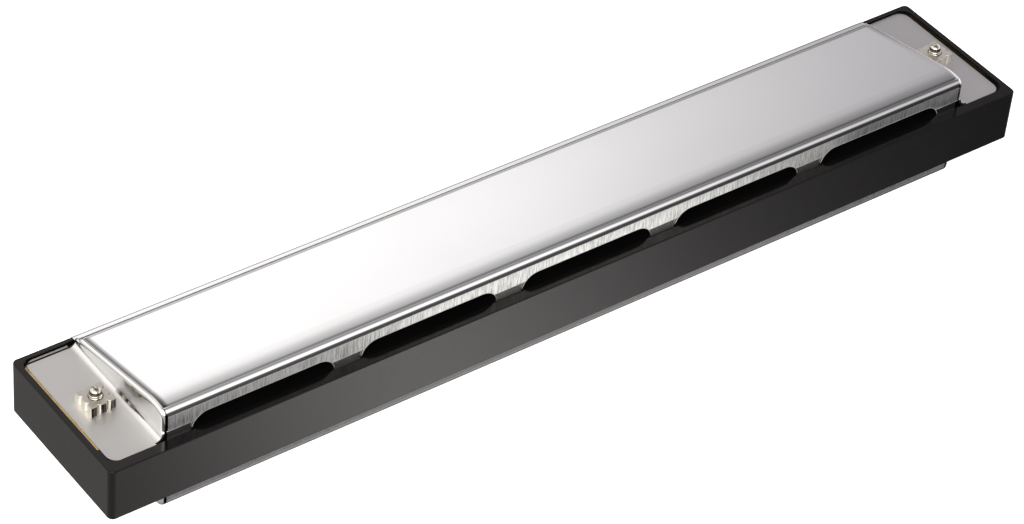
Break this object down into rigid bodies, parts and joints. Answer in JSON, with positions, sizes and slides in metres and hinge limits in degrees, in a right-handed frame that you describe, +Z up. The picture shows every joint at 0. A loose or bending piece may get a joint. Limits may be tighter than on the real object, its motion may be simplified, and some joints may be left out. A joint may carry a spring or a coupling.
{
  "type": "tremolo harmonica",
  "caption": "Tremolo harmonica: black comb with two rows of mouth holes, riveted brass reeds on two plates, and bolted chrome covers with open backs.",
  "frame": {"origin": "bottom centre of the bounding box, below the middle of the comb at the level of the lower cover's lowest line", "axes": "+X along the row of holes towards the low notes, +Y towards the open backs of the covers and away from the mouth side, +Z up through the upper cover, on the nut side"},
  "size_m": [0.18, 0.0292, 0.0201],
  "materials": {
    "comb_plastic": "gloss",
    "cover_chrome": "bright chrome, rear wall brushed",
    "plate_brass": "satin rolled sheet",
    "reed_brass": "filed",
    "rivet_brass": "satin",
    "nail_brass": "satin",
    "bolt_nickel": "nickel plated",
    "nut_nickel": "nickel plated"
  },
  "bodies": {
    "harmonica_body": {"comb": "comb_plastic", "cover_bolts": "bolt_nickel", "lower_cover": "cover_chrome", "lower_reed_plate": "plate_brass", "plate_nails": "nail_brass", "reed_feet": "reed_brass", "reed_rivets": "rivet_brass", "star_nuts": "nut_nickel", "upper_cover": "cover_chrome", "upper_reed_plate": "plate_brass"},
    "upper_blow_reed_01": {"upper_blow_reed_01": "reed_brass"},
    "lower_blow_reed_01": {"lower_blow_reed_01": "reed_brass"},
    "upper_draw_reed_02": {"upper_draw_reed_02": "reed_brass"},
    "lower_draw_reed_02": {"lower_draw_reed_02": "reed_brass"},
    "upper_blow_reed_03": {"upper_blow_reed_03": "reed_brass"},
    "lower_blow_reed_03": {"lower_blow_reed_03": "reed_brass"},
    "upper_draw_reed_04": {"upper_draw_reed_04": "reed_brass"},
    "lower_draw_reed_04": {"lower_draw_reed_04": "reed_brass"},
    "upper_blow_reed_05": {"upper_blow_reed_05": "reed_brass"},
    "lower_blow_reed_05": {"lower_blow_reed_05": "reed_brass"},
    "upper_draw_reed_06": {"upper_draw_reed_06": "reed_brass"},
    "lower_draw_reed_06": {"lower_draw_reed_06": "reed_brass"},
    "upper_blow_reed_07": {"upper_blow_reed_07": "reed_brass"},
    "lower_blow_reed_07": {"lower_blow_reed_07": "reed_brass"},
    "upper_draw_reed_08": {"upper_draw_reed_08": "reed_brass"},
    "lower_draw_reed_08": {"lower_draw_reed_08": "reed_brass"},
    "upper_blow_reed_09": {"upper_blow_reed_09": "reed_brass"},
    "lower_blow_reed_09": {"lower_blow_reed_09": "reed_brass"},
    "upper_draw_reed_10": {"upper_draw_reed_10": "reed_brass"},
    "lower_draw_reed_10": {"lower_draw_reed_10": "reed_brass"},
    "upper_blow_reed_11": {"upper_blow_reed_11": "reed_brass"},
    "lower_blow_reed_11": {"lower_blow_reed_11": "reed_brass"},
    "upper_draw_reed_12": {"upper_draw_reed_12": "reed_brass"},
    "lower_draw_reed_12": {"lower_draw_reed_12": "reed_brass"},
    "upper_blow_reed_13": {"upper_blow_reed_13": "reed_brass"},
    "lower_blow_reed_13": {"lower_blow_reed_13": "reed_brass"},
    "upper_draw_reed_14": {"upper_draw_reed_14": "reed_brass"},
    "lower_draw_reed_14": {"lower_draw_reed_14": "reed_brass"},
    "upper_blow_reed_15": {"upper_blow_reed_15": "reed_brass"},
    "lower_blow_reed_15": {"lower_blow_reed_15": "reed_brass"},
    "upper_draw_reed_16": {"upper_draw_reed_16": "reed_brass"},
    "lower_draw_reed_16": {"lower_draw_reed_16": "reed_brass"},
    "upper_blow_reed_17": {"upper_blow_reed_17": "reed_brass"},
    "lower_blow_reed_17": {"lower_blow_reed_17": "reed_brass"},
    "upper_draw_reed_18": {"upper_draw_reed_18": "reed_brass"},
    "lower_draw_reed_18": {"lower_draw_reed_18": "reed_brass"},
    "upper_blow_reed_19": {"upper_blow_reed_19": "reed_brass"},
    "lower_blow_reed_19": {"lower_blow_reed_19": "reed_brass"},
    "upper_draw_reed_20": {"upper_draw_reed_20": "reed_brass"},
    "lower_draw_reed_20": {"lower_draw_reed_20": "reed_brass"},
    "upper_blow_reed_21": {"upper_blow_reed_21": "reed_brass"},
    "lower_blow_reed_21": {"lower_blow_reed_21": "reed_brass"},
    "upper_draw_reed_22": {"upper_draw_reed_22": "reed_brass"},
    "lower_draw_reed_22": {"lower_draw_reed_22": "reed_brass"},
    "upper_blow_reed_23": {"upper_blow_reed_23": "reed_brass"},
    "lower_blow_reed_23": {"lower_blow_reed_23": "reed_brass"},
    "upper_draw_reed_24": {"upper_draw_reed_24": "reed_brass"},
    "lower_draw_reed_24": {"lower_draw_reed_24": "reed_brass"}
  },
  "joints": [
    {"name": "upper_blow_reed_01_swing", "type": "hinge", "parent": "harmonica_body", "child": "upper_blow_reed_01", "pos_m": [0.07475, 0.00515, 0.01302], "axis": [1, 0, 0], "range_deg": [-3.5, 3.5], "stiffness_Nm_per_rad": 0.00136},
    {"name": "lower_blow_reed_01_swing", "type": "hinge", "parent": "harmonica_body", "child": "lower_blow_reed_01", "pos_m": [0.07475, 0.00515, 0.0071], "axis": [1, 0, 0], "range_deg": [-3.5, 3.5], "stiffness_Nm_per_rad": 0.00136},
    {"name": "upper_draw_reed_02_swing", "type": "hinge", "parent": "harmonica_body", "child": "upper_draw_reed_02", "pos_m": [0.06825, 0.00515, 0.01424], "axis": [1, 0, 0], "range_deg": [-3.5, 3.5], "stiffness_Nm_per_rad": 0.00126},
    {"name": "lower_draw_reed_02_swing", "type": "hinge", "parent": "harmonica_body", "child": "lower_draw_reed_02", "pos_m": [0.06825, 0.00515, 0.00588], "axis": [1, 0, 0], "range_deg": [-3.5, 3.5], "stiffness_Nm_per_rad": 0.00126},
    {"name": "upper_blow_reed_03_swing", "type": "hinge", "parent": "harmonica_body", "child": "upper_blow_reed_03", "pos_m": [0.06175, 0.00515, 0.01302], "axis": [1, 0, 0], "range_deg": [-3.5, 3.5], "stiffness_Nm_per_rad": 0.00116},
    {"name": "lower_blow_reed_03_swing", "type": "hinge", "parent": "harmonica_body", "child": "lower_blow_reed_03", "pos_m": [0.06175, 0.00515, 0.0071], "axis": [1, 0, 0], "range_deg": [-3.5, 3.5], "stiffness_Nm_per_rad": 0.00116},
    {"name": "upper_draw_reed_04_swing", "type": "hinge", "parent": "harmonica_body", "child": "upper_draw_reed_04", "pos_m": [0.05525, 0.00515, 0.01424], "axis": [1, 0, 0], "range_deg": [-3.5, 3.5], "stiffness_Nm_per_rad": 0.00107},
    {"name": "lower_draw_reed_04_swing", "type": "hinge", "parent": "harmonica_body", "child": "lower_draw_reed_04", "pos_m": [0.05525, 0.00515, 0.00588], "axis": [1, 0, 0], "range_deg": [-3.5, 3.5], "stiffness_Nm_per_rad": 0.00107},
    {"name": "upper_blow_reed_05_swing", "type": "hinge", "parent": "harmonica_body", "child": "upper_blow_reed_05", "pos_m": [0.04875, 0.00515, 0.01302], "axis": [1, 0, 0], "range_deg": [-3.5, 3.5], "stiffness_Nm_per_rad": 0.00099},
    {"name": "lower_blow_reed_05_swing", "type": "hinge", "parent": "harmonica_body", "child": "lower_blow_reed_05", "pos_m": [0.04875, 0.00515, 0.0071], "axis": [1, 0, 0], "range_deg": [-3.5, 3.5], "stiffness_Nm_per_rad": 0.00099},
    {"name": "upper_draw_reed_06_swing", "type": "hinge", "parent": "harmonica_body", "child": "upper_draw_reed_06", "pos_m": [0.04225, 0.00515, 0.01424], "axis": [1, 0, 0], "range_deg": [-3.5, 3.5], "stiffness_Nm_per_rad": 0.000914},
    {"name": "lower_draw_reed_06_swing", "type": "hinge", "parent": "harmonica_body", "child": "lower_draw_reed_06", "pos_m": [0.04225, 0.00515, 0.00588], "axis": [1, 0, 0], "range_deg": [-3.5, 3.5], "stiffness_Nm_per_rad": 0.000914},
    {"name": "upper_blow_reed_07_swing", "type": "hinge", "parent": "harmonica_body", "child": "upper_blow_reed_07", "pos_m": [0.03575, 0.00515, 0.01302], "axis": [1, 0, 0], "range_deg": [-3.5, 3.5], "stiffness_Nm_per_rad": 0.000844},
    {"name": "lower_blow_reed_07_swing", "type": "hinge", "parent": "harmonica_body", "child": "lower_blow_reed_07", "pos_m": [0.03575, 0.00515, 0.0071], "axis": [1, 0, 0], "range_deg": [-3.5, 3.5], "stiffness_Nm_per_rad": 0.000844},
    {"name": "upper_draw_reed_08_swing", "type": "hinge", "parent": "harmonica_body", "child": "upper_draw_reed_08", "pos_m": [0.02925, 0.00515, 0.01424], "axis": [1, 0, 0], "range_deg": [-3.5, 3.5], "stiffness_Nm_per_rad": 0.000779},
    {"name": "lower_draw_reed_08_swing", "type": "hinge", "parent": "harmonica_body", "child": "lower_draw_reed_08", "pos_m": [0.02925, 0.00515, 0.00588], "axis": [1, 0, 0], "range_deg": [-3.5, 3.5], "stiffness_Nm_per_rad": 0.000779},
    {"name": "upper_blow_reed_09_swing", "type": "hinge", "parent": "harmonica_body", "child": "upper_blow_reed_09", "pos_m": [0.02275, 0.00515, 0.01302], "axis": [1, 0, 0], "range_deg": [-3.5, 3.5], "stiffness_Nm_per_rad": 0.000719},
    {"name": "lower_blow_reed_09_swing", "type": "hinge", "parent": "harmonica_body", "child": "lower_blow_reed_09", "pos_m": [0.02275, 0.00515, 0.0071], "axis": [1, 0, 0], "range_deg": [-3.5, 3.5], "stiffness_Nm_per_rad": 0.000719},
    {"name": "upper_draw_reed_10_swing", "type": "hinge", "parent": "harmonica_body", "child": "upper_draw_reed_10", "pos_m": [0.01625, 0.00515, 0.01424], "axis": [1, 0, 0], "range_deg": [-3.5, 3.5], "stiffness_Nm_per_rad": 0.000664},
    {"name": "lower_draw_reed_10_swing", "type": "hinge", "parent": "harmonica_body", "child": "lower_draw_reed_10", "pos_m": [0.01625, 0.00515, 0.00588], "axis": [1, 0, 0], "range_deg": [-3.5, 3.5], "stiffness_Nm_per_rad": 0.000664},
    {"name": "upper_blow_reed_11_swing", "type": "hinge", "parent": "harmonica_body", "child": "upper_blow_reed_11", "pos_m": [0.00975, 0.00515, 0.01302], "axis": [1, 0, 0], "range_deg": [-3.5, 3.5], "stiffness_Nm_per_rad": 0.000612},
    {"name": "lower_blow_reed_11_swing", "type": "hinge", "parent": "harmonica_body", "child": "lower_blow_reed_11", "pos_m": [0.00975, 0.00515, 0.0071], "axis": [1, 0, 0], "range_deg": [-3.5, 3.5], "stiffness_Nm_per_rad": 0.000612},
    {"name": "upper_draw_reed_12_swing", "type": "hinge", "parent": "harmonica_body", "child": "upper_draw_reed_12", "pos_m": [0.00325, 0.00515, 0.01424], "axis": [1, 0, 0], "range_deg": [-3.5, 3.5], "stiffness_Nm_per_rad": 0.000565},
    {"name": "lower_draw_reed_12_swing", "type": "hinge", "parent": "harmonica_body", "child": "lower_draw_reed_12", "pos_m": [0.00325, 0.00515, 0.00588], "axis": [1, 0, 0], "range_deg": [-3.5, 3.5], "stiffness_Nm_per_rad": 0.000565},
    {"name": "upper_blow_reed_13_swing", "type": "hinge", "parent": "harmonica_body", "child": "upper_blow_reed_13", "pos_m": [-0.00325, 0.00515, 0.01302], "axis": [1, 0, 0], "range_deg": [-3.5, 3.5], "stiffness_Nm_per_rad": 0.000522},
    {"name": "lower_blow_reed_13_swing", "type": "hinge", "parent": "harmonica_body", "child": "lower_blow_reed_13", "pos_m": [-0.00325, 0.00515, 0.0071], "axis": [1, 0, 0], "range_deg": [-3.5, 3.5], "stiffness_Nm_per_rad": 0.000522},
    {"name": "upper_draw_reed_14_swing", "type": "hinge", "parent": "harmonica_body", "child": "upper_draw_reed_14", "pos_m": [-0.00975, 0.00515, 0.01424], "axis": [1, 0, 0], "range_deg": [-3.5, 3.5], "stiffness_Nm_per_rad": 0.000482},
    {"name": "lower_draw_reed_14_swing", "type": "hinge", "parent": "harmonica_body", "child": "lower_draw_reed_14", "pos_m": [-0.00975, 0.00515, 0.00588], "axis": [1, 0, 0], "range_deg": [-3.5, 3.5], "stiffness_Nm_per_rad": 0.000482},
    {"name": "upper_blow_reed_15_swing", "type": "hinge", "parent": "harmonica_body", "child": "upper_blow_reed_15", "pos_m": [-0.01625, 0.00515, 0.01302], "axis": [1, 0, 0], "range_deg": [-3.5, 3.5], "stiffness_Nm_per_rad": 0.000445},
    {"name": "lower_blow_reed_15_swing", "type": "hinge", "parent": "harmonica_body", "child": "lower_blow_reed_15", "pos_m": [-0.01625, 0.00515, 0.0071], "axis": [1, 0, 0], "range_deg": [-3.5, 3.5], "stiffness_Nm_per_rad": 0.000445},
    {"name": "upper_draw_reed_16_swing", "type": "hinge", "parent": "harmonica_body", "child": "upper_draw_reed_16", "pos_m": [-0.02275, 0.00515, 0.01424], "axis": [1, 0, 0], "range_deg": [-3.5, 3.5], "stiffness_Nm_per_rad": 0.00041},
    {"name": "lower_draw_reed_16_swing", "type": "hinge", "parent": "harmonica_body", "child": "lower_draw_reed_16", "pos_m": [-0.02275, 0.00515, 0.00588], "axis": [1, 0, 0], "range_deg": [-3.5, 3.5], "stiffness_Nm_per_rad": 0.00041},
    {"name": "upper_blow_reed_17_swing", "type": "hinge", "parent": "harmonica_body", "child": "upper_blow_reed_17", "pos_m": [-0.02925, 0.00515, 0.01302], "axis": [1, 0, 0], "range_deg": [-3.5, 3.5], "stiffness_Nm_per_rad": 0.000379},
    {"name": "lower_blow_reed_17_swing", "type": "hinge", "parent": "harmonica_body", "child": "lower_blow_reed_17", "pos_m": [-0.02925, 0.00515, 0.0071], "axis": [1, 0, 0], "range_deg": [-3.5, 3.5], "stiffness_Nm_per_rad": 0.000379},
    {"name": "upper_draw_reed_18_swing", "type": "hinge", "parent": "harmonica_body", "child": "upper_draw_reed_18", "pos_m": [-0.03575, 0.00515, 0.01424], "axis": [1, 0, 0], "range_deg": [-3.5, 3.5], "stiffness_Nm_per_rad": 0.00035},
    {"name": "lower_draw_reed_18_swing", "type": "hinge", "parent": "harmonica_body", "child": "lower_draw_reed_18", "pos_m": [-0.03575, 0.00515, 0.00588], "axis": [1, 0, 0], "range_deg": [-3.5, 3.5], "stiffness_Nm_per_rad": 0.00035},
    {"name": "upper_blow_reed_19_swing", "type": "hinge", "parent": "harmonica_body", "child": "upper_blow_reed_19", "pos_m": [-0.04225, 0.00515, 0.01302], "axis": [1, 0, 0], "range_deg": [-3.5, 3.5], "stiffness_Nm_per_rad": 0.000323},
    {"name": "lower_blow_reed_19_swing", "type": "hinge", "parent": "harmonica_body", "child": "lower_blow_reed_19", "pos_m": [-0.04225, 0.00515, 0.0071], "axis": [1, 0, 0], "range_deg": [-3.5, 3.5], "stiffness_Nm_per_rad": 0.000323},
    {"name": "upper_draw_reed_20_swing", "type": "hinge", "parent": "harmonica_body", "child": "upper_draw_reed_20", "pos_m": [-0.04875, 0.00515, 0.01424], "axis": [1, 0, 0], "range_deg": [-3.5, 3.5], "stiffness_Nm_per_rad": 0.000298},
    {"name": "lower_draw_reed_20_swing", "type": "hinge", "parent": "harmonica_body", "child": "lower_draw_reed_20", "pos_m": [-0.04875, 0.00515, 0.00588], "axis": [1, 0, 0], "range_deg": [-3.5, 3.5], "stiffness_Nm_per_rad": 0.000298},
    {"name": "upper_blow_reed_21_swing", "type": "hinge", "parent": "harmonica_body", "child": "upper_blow_reed_21", "pos_m": [-0.05525, 0.00515, 0.01302], "axis": [1, 0, 0], "range_deg": [-3.5, 3.5], "stiffness_Nm_per_rad": 0.000275},
    {"name": "lower_blow_reed_21_swing", "type": "hinge", "parent": "harmonica_body", "child": "lower_blow_reed_21", "pos_m": [-0.05525, 0.00515, 0.0071], "axis": [1, 0, 0], "range_deg": [-3.5, 3.5], "stiffness_Nm_per_rad": 0.000275},
    {"name": "upper_draw_reed_22_swing", "type": "hinge", "parent": "harmonica_body", "child": "upper_draw_reed_22", "pos_m": [-0.06175, 0.00515, 0.01424], "axis": [1, 0, 0], "range_deg": [-3.5, 3.5], "stiffness_Nm_per_rad": 0.000254},
    {"name": "lower_draw_reed_22_swing", "type": "hinge", "parent": "harmonica_body", "child": "lower_draw_reed_22", "pos_m": [-0.06175, 0.00515, 0.00588], "axis": [1, 0, 0], "range_deg": [-3.5, 3.5], "stiffness_Nm_per_rad": 0.000254},
    {"name": "upper_blow_reed_23_swing", "type": "hinge", "parent": "harmonica_body", "child": "upper_blow_reed_23", "pos_m": [-0.06825, 0.00515, 0.01302], "axis": [1, 0, 0], "range_deg": [-3.5, 3.5], "stiffness_Nm_per_rad": 0.000234},
    {"name": "lower_blow_reed_23_swing", "type": "hinge", "parent": "harmonica_body", "child": "lower_blow_reed_23", "pos_m": [-0.06825, 0.00515, 0.0071], "axis": [1, 0, 0], "range_deg": [-3.5, 3.5], "stiffness_Nm_per_rad": 0.000234},
    {"name": "upper_draw_reed_24_swing", "type": "hinge", "parent": "harmonica_body", "child": "upper_draw_reed_24", "pos_m": [-0.07475, 0.00515, 0.01424], "axis": [1, 0, 0], "range_deg": [-3.5, 3.5], "stiffness_Nm_per_rad": 0.000216},
    {"name": "lower_draw_reed_24_swing", "type": "hinge", "parent": "harmonica_body", "child": "lower_draw_reed_24", "pos_m": [-0.07475, 0.00515, 0.00588], "axis": [1, 0, 0], "range_deg": [-3.5, 3.5], "stiffness_Nm_per_rad": 0.000216}
  ]
}
